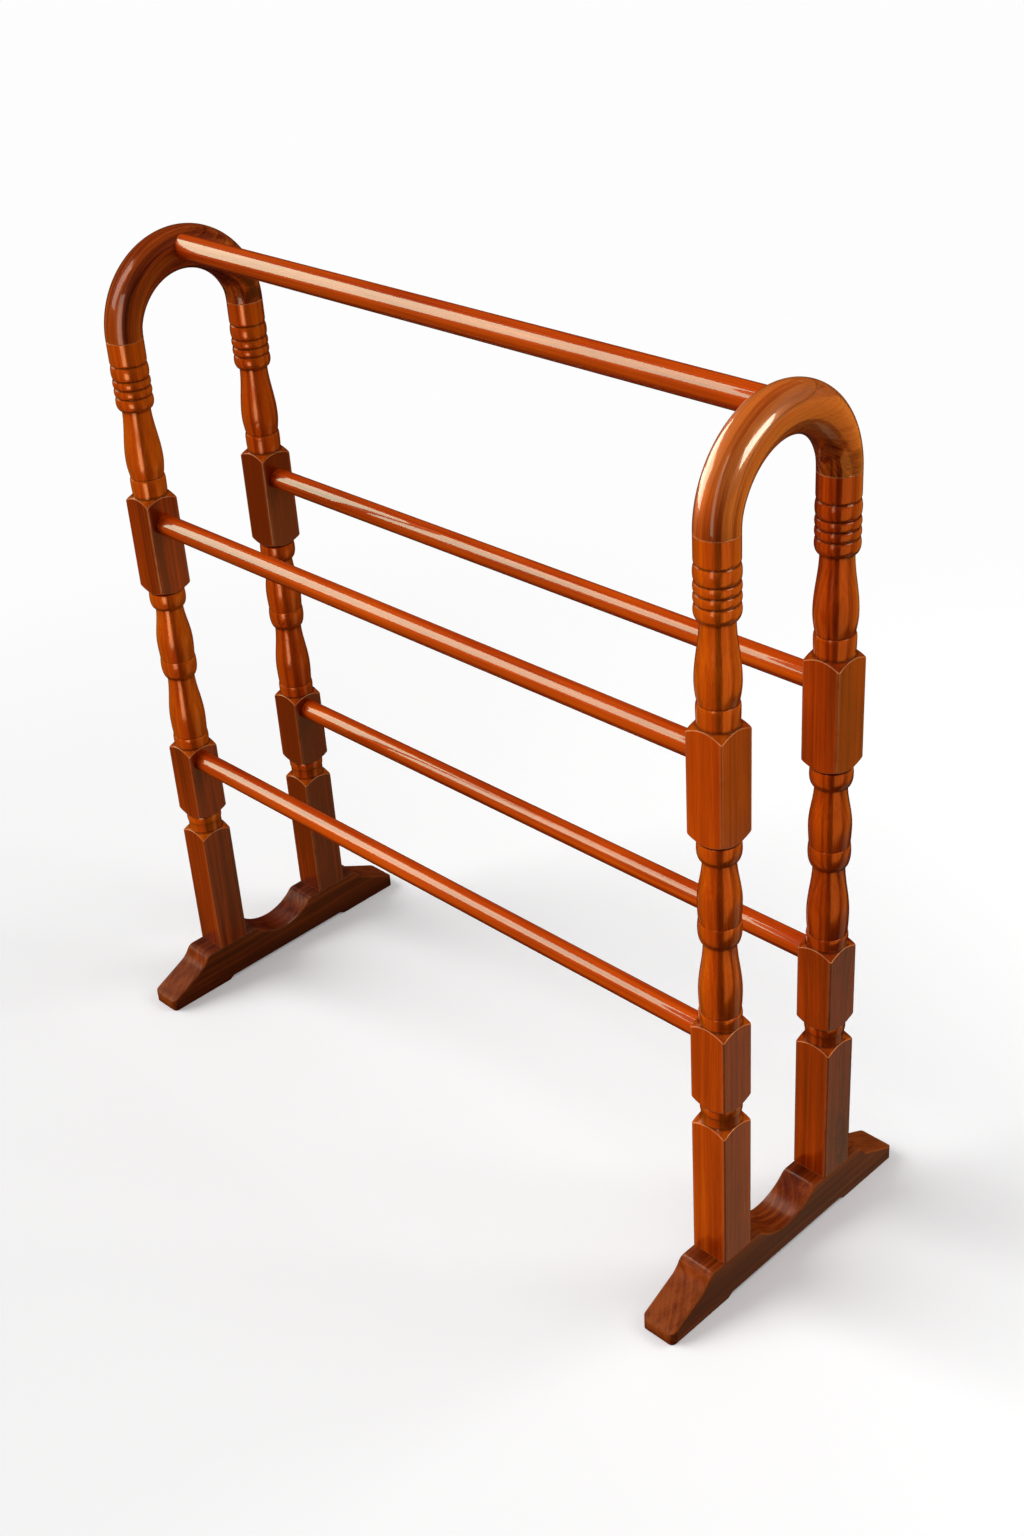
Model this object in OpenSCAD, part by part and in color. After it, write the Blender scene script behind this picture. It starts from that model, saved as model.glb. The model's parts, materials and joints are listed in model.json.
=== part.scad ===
// Bare turned-wood rack for quilts and towels: two arched end frames joined by five round rails.
// Millimetres. X runs along the rails, -Y is the front, Z is up. The origin is on the floor, midway
// between the two end frames and midway between the front and back posts.

/* [Overall] */
// Distance between the middle planes of the two end frames
frame_spacing = 748; // [500:1:1000]
// Distance between the axes of the front and back post of one end frame
post_spacing = 149; // [140:1:156]
// Side of the square stock of posts and feet
stock = 38; // [38:0.5:41]

/* [Heights above the floor, to the corner tips of the square blocks] */
// Top face of the foot, where the posts stand
foot_h = 48; // [46:1:52]
// Top of the base block
base_top = 196; // [150:1:206]
// Bottom of the lower block
lower_bottom = 227; // [227:1:232]
// Top of the lower block
lower_top = 304; // [298:1:306]
// Bottom of the upper block
upper_bottom = 502; // [498:1:520]
// Top of the upper block
upper_top = 597; // [590:1:602]
// Joint between the posts and the hoop
seam_h = 765; // [760:1:780]
// Axis of the two lower rails
lower_rail_h = 291; // [262:1:292]
// Axis of the two upper rails
upper_rail_h = 573; // [530:1:578]

/* [Hoop and rails] */
// Radius of the round hoop and of the post tops under it
hoop_r = 18.5; // [17.5:0.1:18.8]
// Upright thickness of the hoop at its crown, where it is thickest
crown_h = 43; // [40:0.5:44]
// Radius of the thicker rail at the top
top_rail_r = 12.5; // [10:0.5:14]
// Radius of the four thinner rails
rail_r = 11; // [8:0.5:12.5]
// Depth that a rail goes into a post or a hoop
rail_tenon = 19; // [12:0.5:20]
// Gap all round between a rail or dowel and its socket, filled with glue
glue_gap = 0.1; // [0.05:0.05:0.2]

/* [Turnings] */
// Radius of the neck below the rings
neck_r = 14.4; // [13:0.1:16]
// Radius of the bellies and of the plain rings
belly_r = 19; // [18.5:0.1:19]
// Radius of the four stacked rings
ring_r = 19; // [18:0.1:19]
// Radius at the bottom of the grooves between the stacked rings
groove_r = 17.2; // [15:0.1:17.4]
// Radius at the groove below a belly
waist_r = 18.1; // [16:0.1:18.6]
// Height of a block's turned shoulder, from its corner tips to its collar
shoulder_h = 7; // [5:0.5:8]
// Rounding along the upright edges of the blocks
block_edge_r = 2; // [1:0.5:3]

/* [Foot] */
// Length of a foot
foot_len = 336; // [320:1:350]
// Distance from the middle of the foot to the end of its flat top
foot_land = 107; // [100:1:112]
// Half the width of the scoop between the posts
scoop_half = 44; // [36:1:46]
// Depth of the scoop between the posts
scoop_depth = 18; // [8:1:20]
// Height of the shallow relief between the two pads
relief_h = 3.5; // [2:0.5:4]
// Distance from the middle of the foot to the inner end of a pad
pad_start = 88; // [86:1:100]
// Slope of the toe's top face, in degrees
toe_slope = 26; // [24:1:27]

/* [Hidden] */
$fn = 64;
mahogany = [0.58, 0.24, 0.07];
walnut = [0.42, 0.2, 0.08];
foot_brown = [0.34, 0.15, 0.06];
beech = [0.82, 0.66, 0.45];
steel = [0.7, 0.7, 0.72];

// Middle plane of an end frame, axis of a post, half the stock
frame_x = frame_spacing / 2;
post_y = post_spacing / 2;
half = stock / 2;
// Distance from a post's axis to the rounded corner of its blocks, and radius of the turned core
corner_r = (half - block_edge_r) * sqrt(2) + block_edge_r;
core_r = 17;
// Straight steps in each curve of a turning
step_count = 7;

// Plain band at the top of a post: its height, the cove under it and its eased upper edge
band_h = 24;
cove_h = 4;
edge = 0.4;
// Heights of the four stacked rings from the top down, and of the last one's upper part
ring_heights = [14.5, 9, 9, 14.5];
last_ring_rise = 6;
// Upper vase, from the last ring down to the collar on the upper block
upper_neck_h = ring_top(len(ring_heights));
upper_belly_h = upper_top + 44;
upper_groove_h = upper_top + 25.8;
upper_waist_r = waist_r - 1.2;
upper_collar_h = upper_groove_h - 5;
upper_collar_end = upper_top + 4;
// Ring under the upper block, middle vase, middle ring and lower vase
block_ring_h = upper_bottom - 15.5;
middle_neck_h = upper_bottom - 26;
middle_belly_h = upper_bottom - 67;
middle_groove_h = upper_bottom - 86;
middle_ring_h = upper_bottom - 94;
lower_neck_h = upper_bottom - 108.5;
lower_belly_h = lower_top + 38.5;
lower_groove_h = lower_top + 18.5;
lower_collar_h = lower_groove_h - 4;
lower_collar_end = lower_top + 2;
// Ring between the lower block and the base block: its upper end, widest height and lower end
neck_ring_start = lower_bottom - 5;
neck_ring_h = lower_bottom - 10;
neck_ring_end = lower_bottom - 15;
// Depth that the turned core goes on inside a block
core_overlap = 4;

// Slightly thinner tube inside the hoop, which comes out of it under the crown: its radius, the
// height, radius and starting angle of its centre line's arc above the joint
inner_r = hoop_r - 1.5;
inner_rise = post_y - (crown_h - hoop_r - inner_r);
inner_arc_r = (post_y * post_y + inner_rise * inner_rise) / (2 * inner_rise);
inner_start = 14;

// Dowel between hoop and post, tenon between post and foot
dowel_r = 6;
dowel_len = 50;
dowel_chamfer = 1;
flute_r = 0.5;
tenon_r = 12.5;
tenon_len = 28;
tenon_bottom = foot_h - tenon_len;
// Screw through the foot into the tenon
screw_r = 2.5;
shank_r = 2.1;
root_r = 1.9;
screw_len = 50;
screw_tip = 4;
screw_head_r = 5;
screw_head_h = 3;
screw_recess = 1;
screw_z = relief_h + screw_recess;
screw_gap = 0.2;
thread_pitch = 2;
thread_count = 14;
thread_start = screw_len - screw_tip - thread_count * thread_pitch;
thread_land = 0.2;
cross_len = 5.2;
cross_width = 1;
cross_depth = 1.8;
// Extra length of a cut, so that it leaves no skin
over = 1;

// Foot outline: end of the toe, rounding and angle at the end of the flat top, hollow above the toe
toe_y = foot_len / 2;
land_r = 10;
land_turn = 30;
hollow_r = 25;
toe_r = 4;
sole_r = 2.5;
relief_run = 6;
scoop_edge_r = 10;
scoop_sum = (scoop_half * scoop_half + scoop_depth * scoop_depth) / (2 * scoop_depth);
scoop_r = scoop_sum - scoop_edge_r;
scoop_turn = asin(scoop_half / scoop_sum);
hollow_y = foot_land + (land_r + hollow_r) * cos(land_turn);
hollow_z = foot_h - land_r + (land_r + hollow_r) * sin(land_turn);
slope_y = hollow_y - hollow_r * sin(toe_slope);
slope_z = hollow_z - hollow_r * cos(toe_slope);
// Where the toe's sloping top face meets its rounding
toe_round_y = toe_y - toe_r + toe_r * sin(toe_slope);
toe_top_z = slope_z - (toe_round_y - slope_y) * tan(toe_slope);

// Points of an arc about (cx, cz), from angle a0 to angle a1
function arc(cx, cz, r, a0, a1, n) =
    [for (i = [0:n]) let (a = a0 + (a1 - a0) * i / n) [cx + r * cos(a), cz + r * sin(a)]];

// Outline of a ring: a quarter ellipse out to its widest height, then one back in
function ring(z_top, z_wide, z_bottom, r_top, r_wide, r_bottom) = concat(
    [for (i = [0:step_count]) let (a = 90 * i / step_count)
        [r_top + (r_wide - r_top) * sin(a), z_wide + (z_top - z_wide) * cos(a)]],
    [for (i = [1:step_count]) let (a = 90 * i / step_count)
        [r_bottom + (r_wide - r_bottom) * cos(a), z_wide + (z_bottom - z_wide) * sin(a)]]);

// Outline of a vase: an S curve from its neck down to its belly, then a round to the groove below
function vase(z_neck, z_belly, z_groove, r_groove) = concat(
    [for (i = [1:step_count]) let (t = i / step_count)
        [neck_r + (belly_r - neck_r) * (1 - cos(180 * t)) / 2, z_neck + (z_belly - z_neck) * t]],
    [for (i = [1:step_count]) let (t = i / step_count)
        [r_groove + (belly_r - r_groove) * cos(90 * t), z_belly + (z_groove - z_belly) * t]]);

// Height of the top of stacked ring i
function ring_top(i) = i == 0 ? seam_h - band_h : ring_top(i - 1) - ring_heights[i - 1];

// Outline of all the turned parts of a post, from the joint with the hoop down to the base block
function post_outline() = concat(
    [[0, seam_h], [hoop_r - edge, seam_h], [hoop_r, seam_h - edge]],
    [for (i = [0:step_count]) let (a = 90 * i / step_count)
        [groove_r + (hoop_r - groove_r) * cos(a), seam_h - band_h + cove_h * (1 - sin(a))]],
    [for (i = [0:2]) each ring(ring_top(i), ring_top(i) - ring_heights[i] / 2,
        ring_top(i + 1), groove_r, ring_r, groove_r)],
    ring(ring_top(3), ring_top(3) - last_ring_rise, upper_neck_h, groove_r, ring_r, neck_r),
    vase(upper_neck_h, upper_belly_h, upper_groove_h, upper_waist_r),
    ring(upper_groove_h, upper_collar_h, upper_collar_end, upper_waist_r, waist_r, core_r),
    [[core_r, upper_bottom - core_overlap], [core_r, upper_bottom - shoulder_h]],
    ring(upper_bottom - shoulder_h, block_ring_h, middle_neck_h, waist_r, belly_r, neck_r),
    vase(middle_neck_h, middle_belly_h, middle_groove_h, waist_r),
    ring(middle_groove_h, middle_ring_h, lower_neck_h, waist_r, belly_r, neck_r),
    vase(lower_neck_h, lower_belly_h, lower_groove_h, waist_r),
    ring(lower_groove_h, lower_collar_h, lower_collar_end, waist_r, ring_r, core_r),
    [[core_r, lower_bottom - core_overlap]],
    ring(neck_ring_start, neck_ring_h, neck_ring_end, waist_r, ring_r, waist_r),
    [[waist_r, base_top + 2], [core_r, base_top - core_overlap], [0, base_top - core_overlap]]);

// Outline of the coned shoulder over a block's corner tips; direction is 1 for a top, -1 for a bottom
function shoulder(z, direction) = [
    [core_r, z + direction * shoulder_h],
    [(core_r + corner_r) / 2, z + direction * shoulder_h / 2],
    [corner_r - 1, z + direction],
    [corner_r + 1, z - direction * 1.4]];

// Square column with rounded upright edges
module column(z0, z1) {
    inner = stock - 2 * block_edge_r;
    translate([-half, -inner / 2, z0]) cube([stock, inner, z1 - z0]);
    translate([-inner / 2, -half, z0]) cube([inner, stock, z1 - z0]);
    for (x = [-1, 1], y = [-1, 1])
        translate([x * inner / 2, y * inner / 2, z0]) cylinder(r = block_edge_r, h = z1 - z0);
}

// Square block of a post with a turned shoulder at both ends
module block(z0, z1) {
    bottom = shoulder(z0, -1);
    intersection() {
        column(z0 - shoulder_h, z1 + shoulder_h);
        rotate_extrude() polygon(concat([[0, z1 + shoulder_h]], shoulder(z1, 1),
            [for (i = [3:-1:0]) bottom[i]], [[0, z0 - shoulder_h]]));
    }
}

// Square block at the foot of a post, with a turned shoulder at its top only
module base_block() {
    intersection() {
        column(foot_h, base_top + shoulder_h);
        rotate_extrude() polygon(concat([[0, base_top + shoulder_h]], shoulder(base_top, 1),
            [[corner_r + 1, foot_h], [0, foot_h]]));
    }
}

// Blind socket for a rail, open towards the other end frame; end_x is the distance of its blind end
// from the post's axis, positive on the far side
module rail_socket(z, r, side, end_x) {
    translate([end_x * side, 0, z]) rotate([0, -90 * side, 0]) cylinder(r = r + glue_gap, h = stock);
}

// Post on its own axis; side is -1 for the left end frame and 1 for the right
module post(side) {
    color(mahogany) difference() {
        union() {
            rotate_extrude() polygon(post_outline());
            block(upper_bottom, upper_top);
            block(lower_bottom, lower_top);
            base_block();
            translate([0, 0, tenon_bottom]) cylinder(r = tenon_r, h = tenon_len + over);
        }
        rail_socket(upper_rail_h, rail_r, side, rail_tenon - half);
        rail_socket(lower_rail_h, rail_r, side, rail_tenon - half);
        translate([0, 0, seam_h - dowel_len / 2]) cylinder(r = dowel_r + glue_gap, h = dowel_len);
        translate([0, 0, tenon_bottom - over])
            cylinder(r = screw_r + glue_gap, h = screw_z + screw_len + 2 * over - tenon_bottom);
    }
}

// Round tube bent to an arc over the joint, from that angle above the arc's centre at both sides
module arch(arc_r, centre_z, r, start) {
    translate([0, 0, seam_h + centre_z]) rotate([90, 0, 90]) rotate(start)
        rotate_extrude(angle = 180 - 2 * start) translate([arc_r, 0]) circle(r = r);
}

// Half circle of round section that joins the front and back post, thicker under its crown; side as
// for a post
module hoop(side) {
    color(walnut) difference() {
        union() {
            arch(post_y, 0, hoop_r, 0);
            arch(inner_arc_r, inner_rise - inner_arc_r, inner_r, inner_start);
        }
        for (y = [-post_y, post_y])
            translate([0, y, seam_h - over]) cylinder(r = dowel_r + glue_gap, h = dowel_len / 2 + over);
        rail_socket(seam_h + post_y, top_rail_r, side, rail_tenon - hoop_r);
    }
}

// Half of the foot's side outline, from the middle of the scoop round the toe to the middle of the sole
function foot_half() = concat(
    arc(0, foot_h - scoop_depth + scoop_r, scoop_r, -90, -90 + scoop_turn, 12),
    arc(scoop_half, foot_h - scoop_edge_r, scoop_edge_r, 90 + scoop_turn, 90, 6),
    arc(foot_land, foot_h - land_r, land_r, 90, land_turn, 6),
    arc(hollow_y, hollow_z, hollow_r, 180 + land_turn, 270 - toe_slope, 6),
    arc(toe_y - toe_r, toe_top_z - toe_r * cos(toe_slope), toe_r, 90 - toe_slope, 0, 5),
    arc(toe_y - sole_r, sole_r, sole_r, 0, -90, 4),
    [[pad_start, 0], [pad_start - relief_run, relief_h]]);

// Foot with a round mortise and a countersunk screw hole under each post
module foot(x) {
    right = foot_half();
    left = [for (i = [len(right) - 1:-1:1]) [-right[i][0], right[i][1]]];
    hole_r = screw_r + screw_gap;
    head_hole_r = screw_head_r + screw_gap;
    color(foot_brown) difference() {
        translate([x - half, 0, 0]) rotate([90, 0, 90])
            linear_extrude(stock) polygon(concat(right, left));
        for (y = [-post_y, post_y]) translate([x, y, 0]) {
            translate([0, 0, tenon_bottom - over]) cylinder(r = tenon_r + glue_gap, h = tenon_len + 2 * over);
            cylinder(r = hole_r, h = foot_h);
            cylinder(r = head_hole_r, h = screw_z);
            translate([0, 0, screw_z - 0.01]) cylinder(r1 = head_hole_r, r2 = hole_r, h = screw_head_h);
        }
    }
}

// Round rail with slightly eased ends, centred on x = 0
module rail(y, z, r, length) {
    ease = 0.8;
    color(mahogany) translate([-length / 2, y, z]) rotate([0, 90, 0]) rotate_extrude()
        polygon([[0, 0], [r - ease, 0], [r, ease], [r, length - ease], [r - ease, length], [0, length]]);
}

// Fluted dowel that pins a hoop to the top of a post
module hoop_dowel(x, y) {
    length = dowel_len - 2 * edge;
    end_r = dowel_r - dowel_chamfer;
    color(beech) translate([x, y, seam_h - length / 2]) difference() {
        rotate_extrude() polygon([[0, 0], [end_r, 0], [dowel_r, dowel_chamfer],
            [dowel_r, length - dowel_chamfer], [end_r, length], [0, length]]);
        for (a = [0:45:315]) rotate(a)
            translate([dowel_r, 0, -over]) cylinder(r = flute_r, h = length + 2 * over);
    }
}

// Countersunk wood screw with a cross recess, driven up through the foot into the post
module foot_screw(x, y) {
    color(steel) translate([x, y, screw_z]) difference() {
        rotate_extrude() polygon(concat(
            [[0, 0], [screw_head_r, 0], [shank_r, screw_head_h], [shank_r, thread_start]],
            [for (i = [0:thread_count - 1]) each [
                [root_r, thread_start + i * thread_pitch + thread_land],
                [screw_r, thread_start + (i + 0.5) * thread_pitch]]],
            [[root_r, screw_len - screw_tip], [0, screw_len]]));
        for (a = [0, 90]) rotate(a) translate([-cross_len / 2, -cross_width / 2, -over])
            cube([cross_len, cross_width, cross_depth + over]);
    }
}

foot(-frame_x);  // foot_left
foot(frame_x);  // foot_right
translate([-frame_x, -post_y, 0]) post(-1);  // post_left_front
translate([-frame_x, post_y, 0]) post(-1);  // post_left_back
translate([frame_x, -post_y, 0]) post(1);  // post_right_front
translate([frame_x, post_y, 0]) post(1);  // post_right_back
translate([-frame_x, 0, 0]) hoop(-1);  // hoop_left
translate([frame_x, 0, 0]) hoop(1);  // hoop_right
rail(0, seam_h + post_y, top_rail_r, frame_spacing - 2 * hoop_r + 2 * rail_tenon);  // top_rail
rail(-post_y, upper_rail_h, rail_r, frame_spacing - stock + 2 * rail_tenon);  // upper_rail_front
rail(post_y, upper_rail_h, rail_r, frame_spacing - stock + 2 * rail_tenon);  // upper_rail_back
rail(-post_y, lower_rail_h, rail_r, frame_spacing - stock + 2 * rail_tenon);  // lower_rail_front
rail(post_y, lower_rail_h, rail_r, frame_spacing - stock + 2 * rail_tenon);  // lower_rail_back
hoop_dowel(-frame_x, -post_y);  // hoop_dowel_left_front
hoop_dowel(-frame_x, post_y);  // hoop_dowel_left_back
hoop_dowel(frame_x, -post_y);  // hoop_dowel_right_front
hoop_dowel(frame_x, post_y);  // hoop_dowel_right_back
foot_screw(-frame_x, -post_y);  // foot_screw_left_front
foot_screw(-frame_x, post_y);  // foot_screw_left_back
foot_screw(frame_x, -post_y);  // foot_screw_right_front
foot_screw(frame_x, post_y);  // foot_screw_right_back
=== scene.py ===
"""Looks of a bare turned-wood rack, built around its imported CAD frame."""
import json
import math

import bmesh
import bpy
import numpy as np
from mathutils import Matrix, Vector
from mathutils.geometry import delaunay_2d_cdt

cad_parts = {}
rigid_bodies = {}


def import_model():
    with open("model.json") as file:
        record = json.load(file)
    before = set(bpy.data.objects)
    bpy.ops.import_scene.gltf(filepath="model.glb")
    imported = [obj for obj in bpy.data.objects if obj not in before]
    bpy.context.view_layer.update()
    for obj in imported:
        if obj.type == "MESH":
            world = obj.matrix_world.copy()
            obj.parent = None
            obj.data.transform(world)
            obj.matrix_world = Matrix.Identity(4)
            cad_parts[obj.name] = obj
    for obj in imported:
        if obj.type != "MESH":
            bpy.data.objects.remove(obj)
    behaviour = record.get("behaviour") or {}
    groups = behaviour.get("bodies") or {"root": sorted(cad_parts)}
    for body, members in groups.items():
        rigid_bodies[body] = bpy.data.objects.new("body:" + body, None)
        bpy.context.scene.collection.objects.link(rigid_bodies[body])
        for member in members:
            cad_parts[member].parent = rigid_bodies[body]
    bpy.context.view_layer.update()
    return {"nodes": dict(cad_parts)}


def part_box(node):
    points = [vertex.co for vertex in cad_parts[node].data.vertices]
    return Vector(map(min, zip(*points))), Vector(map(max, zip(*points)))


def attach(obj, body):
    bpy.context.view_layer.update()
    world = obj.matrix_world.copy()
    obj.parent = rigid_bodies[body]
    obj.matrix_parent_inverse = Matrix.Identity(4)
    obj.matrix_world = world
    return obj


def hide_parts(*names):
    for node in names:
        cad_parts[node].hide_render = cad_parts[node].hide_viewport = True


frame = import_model()

MM = 0.001
SIDES = {"left": -1, "right": 1}
ENDS = {"front": -1, "back": 1}

# ------------------------------ sizes, in millimetres
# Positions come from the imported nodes. The other values are the part's own sizes.
post_low, post_high = (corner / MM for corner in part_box("post_right_front"))
foot_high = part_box("foot_right")[1] / MM
FRAME_X = (post_low.x + post_high.x) / 2
POST_Y = -(post_low.y + post_high.y) / 2
HALF = (post_high.x - post_low.x) / 2
TENON_BOTTOM = post_low.z
SEAM_H = post_high.z
FOOT_H = foot_high.z
FOOT_END = foot_high.y

# Corner tips of the square blocks, above the floor
BASE_TOP = 196
LOWER_BOTTOM = 227
LOWER_TOP = 304
UPPER_BOTTOM = 502
UPPER_TOP = 597

# Hoop and rails
HOOP_R = 18.5
INNER_R = HOOP_R - 1.5
CROWN_H = 43
TOP_RAIL_R = 12.5
RAIL_R = 11
RAIL_TENON = 19
GLUE_GAP = 0.1
UPPER_RAIL_H = sum(corner.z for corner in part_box("upper_rail_front")) / 2 / MM
LOWER_RAIL_H = sum(corner.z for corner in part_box("lower_rail_front")) / 2 / MM
TOP_RAIL_H = sum(corner.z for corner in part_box("top_rail")) / 2 / MM

# Turnings
BAND_H = 24
COVE_H = 4
# Edges of the four stacked rings, below the joint with the hoop
RING_DROPS = (BAND_H, 38.5, 47.5, 56.5, 71)
LAST_RING_RISE = 6
NECK_R = 14.4
BELLY_R = 19
RING_R = 19
GROOVE_R = 17.2
WAIST_R = 18.1
UPPER_WAIST_R = WAIST_R - 1.2
CORE_R = 17
CORE_OVERLAP = 4
SHOULDER_H = 7
BLOCK_EDGE_R = 2
EDGE = 0.4
DOWEL_HOLE_R = 6.1
DOWEL_DEPTH = 25
TENON_R = 12.5
PILOT_R = 2.6
PILOT_TOP = 55.5
TENON_EASE = 0.8

# Foot
FOOT_LAND = 107
LAND_R = 10
LAND_TURN = 30
HOLLOW_R = 25
TOE_SLOPE = 26
TOE_R = 4
SOLE_R = 2.5
PAD_START = 88
RELIEF_RUN = 6
RELIEF_H = 3.5
SCOOP_HALF = 44
SCOOP_DEPTH = 18
SCOOP_EDGE_R = 10
FOOT_EDGE_R = 1.8
FOOT_RIM = 0.6
TOE_CORNER_R = 8
SCREW_Z = 4.5
SCREW_HOLE_R = 2.7
SCREW_HEAD_HOLE_R = 5.2
SCREW_HEAD_H = 3


# ------------------------------ camera
SENSOR_H = 36
CLIP_END = 50


def direction(azimuth, elevation):
    """Unit vector towards that azimuth, from the front to the right, and elevation, in degrees."""
    azimuth, elevation = math.radians(azimuth), math.radians(elevation)
    return Vector((math.sin(azimuth) * math.cos(elevation),
                   -math.cos(azimuth) * math.cos(elevation), math.sin(elevation)))


def look(position, azimuth, elevation, roll, lens):
    """Camera at position, which sees the rack from that azimuth and elevation; metres, degrees."""
    back = direction(azimuth, elevation)
    azimuth, roll = math.radians(azimuth), math.radians(roll)
    right = Vector((math.cos(azimuth), math.sin(azimuth), 0))
    up = back.cross(right)
    x_axis = math.cos(roll) * right + math.sin(roll) * up
    y_axis = math.cos(roll) * up - math.sin(roll) * right
    camera = bpy.data.objects.new("camera", bpy.data.cameras.new("camera"))
    camera.matrix_world = Matrix.Translation(position) @ Matrix(
        (x_axis, y_axis, back)).transposed().to_4x4()
    camera.data.sensor_fit = "VERTICAL"
    camera.data.sensor_height = SENSOR_H
    camera.data.lens = lens
    camera.data.clip_end = CLIP_END
    bpy.context.scene.collection.objects.link(camera)
    bpy.context.scene.camera = camera


look(position=(1.2285, -1.0948, 1.3683), azimuth=46.976, elevation=30.984, roll=-4.062, lens=45.92)


# ------------------------------ mesh helpers
def new_object(name, points, faces):
    """Mesh object from points in millimetres."""
    mesh = bpy.data.meshes.new(name)
    mesh.from_pydata((np.asarray(points, float) * MM).tolist(), [], faces)
    shape = bmesh.new()
    shape.from_mesh(mesh)
    bmesh.ops.recalc_face_normals(shape, faces=shape.faces)
    shape.to_mesh(mesh)
    shape.free()
    piece = bpy.data.objects.new(name, mesh)
    bpy.context.scene.collection.objects.link(piece)
    return piece


def wall(rows, count):
    """Four-sided faces between rows of closed loops with equal point counts."""
    faces = []
    for row in range(rows - 1):
        for i in range(count):
            j = (i + 1) % count
            a, b = row * count, (row + 1) * count
            faces.append((a + i, a + j, b + j, b + i))
    return faces


def skin(name, loops, start, end):
    """Closed mesh over a row of loops with equal point counts, shut by a fan at each end."""
    loops = np.asarray(loops, float)
    rows, count = loops.shape[:2]
    points = np.vstack([loops.reshape(-1, 3), [start], [end]])
    faces = wall(rows, count)
    first, last = rows * count, rows * count + 1
    for i in range(count):
        j = (i + 1) % count
        faces.append((first, j, i))
        faces.append((last, (rows - 1) * count + i, (rows - 1) * count + j))
    return new_object(name, points, faces)


def rod(name, base, axis, stations, count=72):
    """Closed lathe shape: stations are (distance along the axis, radius) from base."""
    axis = Vector(axis).normalized()
    side = axis.orthogonal().normalized()
    other = axis.cross(side)
    base = np.array(base, float)
    angles = np.arange(count) * 2 * math.pi / count
    circle = np.outer(np.cos(angles), side) + np.outer(np.sin(angles), other)
    loops = [base + np.array(axis) * d + circle * r for d, r in stations]
    return skin(name, loops, base + np.array(axis) * stations[0][0],
                base + np.array(axis) * stations[-1][0])


def cut(piece, cutters, envelope=None):
    """Takes the cutters off the piece, and all of it that lies outside the envelope. The cutters
    and the envelope are then removed."""
    cutters = cutters + [envelope] if envelope else cutters
    for cutter in cutters:
        change = piece.modifiers.new("cut", "BOOLEAN")
        change.operation = "INTERSECT" if cutter is envelope else "DIFFERENCE"
        change.solver = "EXACT"
        change.object = cutter
    bpy.context.view_layer.update()
    done = bpy.data.meshes.new_from_object(
        piece.evaluated_get(bpy.context.evaluated_depsgraph_get()))
    piece.modifiers.clear()
    piece.data = done
    done.name = piece.name
    for cutter in cutters:
        bpy.data.objects.remove(cutter)


def points_of(piece):
    """Vertex positions in millimetres."""
    points = np.zeros(len(piece.data.vertices) * 3)
    piece.data.vertices.foreach_get("co", points)
    return points.reshape(-1, 3) / MM


SHARP_ANGLE = 38


def paint(piece, grain, wear=0.0, stain=0.0, tone=0.0):
    """Stores what the wood materials read: wood coordinates along the grain, worn edges, and
    grooves darkened by stain and painted shade (0 to 1), and how much lighter than usual the wood
    is painted, which holds its own tone and painted light and shade."""
    mesh = piece.data
    zero = np.zeros(len(mesh.vertices))
    for name, kind, field, values in (
            ("grain", "FLOAT_VECTOR", "vector", np.asarray(grain) * MM),
            ("wear", "FLOAT", "value", np.clip(wear, 0, 1) + zero),
            ("stain", "FLOAT", "value", np.clip(stain, 0, 1) + zero),
            ("tone", "FLOAT", "value", tone + zero)):
        layer = mesh.attributes.new(name, kind, "POINT")
        layer.data.foreach_set(field, np.asarray(values, np.float32).ravel())
    mesh.shade_smooth()
    mesh.set_sharp_from_angle(angle=math.radians(SHARP_ANGLE))
    flat_faces = piece.modifiers.new("flat_faces", "WEIGHTED_NORMAL")
    flat_faces.keep_sharp = True


def place(piece, node, slot_name):
    """Puts the piece in the frame in place of its CAD node, made of the slot's wood."""
    piece.data.materials.clear()
    piece.data.materials.append(WOODS[slot_name])
    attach(piece, "root")
    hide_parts(node)


def bump_near(value, centre, width):
    """1 at the centre, falling to 0 over about two widths."""
    return np.exp(-((value - centre) / width) ** 2)


def arc(centre, radius, start, stop, count):
    """Points of an arc, angles in degrees."""
    angles = np.radians(np.linspace(start, stop, count + 1))
    return np.column_stack([centre[0] + radius * np.cos(angles),
                            centre[1] + radius * np.sin(angles)])


# ------------------------------ post shape
def ring(z_top, z_wide, z_bottom, r_top, r_wide, r_bottom, steps=8):
    """Outline of a ring: a quarter ellipse out to its widest height, then one back in."""
    a = np.linspace(0, math.pi / 2, steps + 1)
    out = np.column_stack([z_wide + (z_top - z_wide) * np.cos(a),
                           r_top + (r_wide - r_top) * np.sin(a)])
    back = np.column_stack([z_wide + (z_bottom - z_wide) * np.sin(a),
                            r_bottom + (r_wide - r_bottom) * np.cos(a)])
    return np.vstack([out, back[1:]])


def vase(z_neck, z_belly, z_groove, r_groove, upper_steps=22, lower_steps=12):
    """Outline of a vase: an S curve from its neck down to its belly, then a round to the groove."""
    t = np.linspace(0, 1, upper_steps + 1)[1:]
    upper = np.column_stack([z_neck + (z_belly - z_neck) * t,
                             NECK_R + (BELLY_R - NECK_R) * (1 - np.cos(math.pi * t)) / 2])
    t = np.linspace(0, 1, lower_steps + 1)[1:]
    lower = np.column_stack([z_belly + (z_groove - z_belly) * t,
                             r_groove + (BELLY_R - r_groove) * np.cos(math.pi / 2 * t)])
    return np.vstack([upper, lower])


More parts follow.
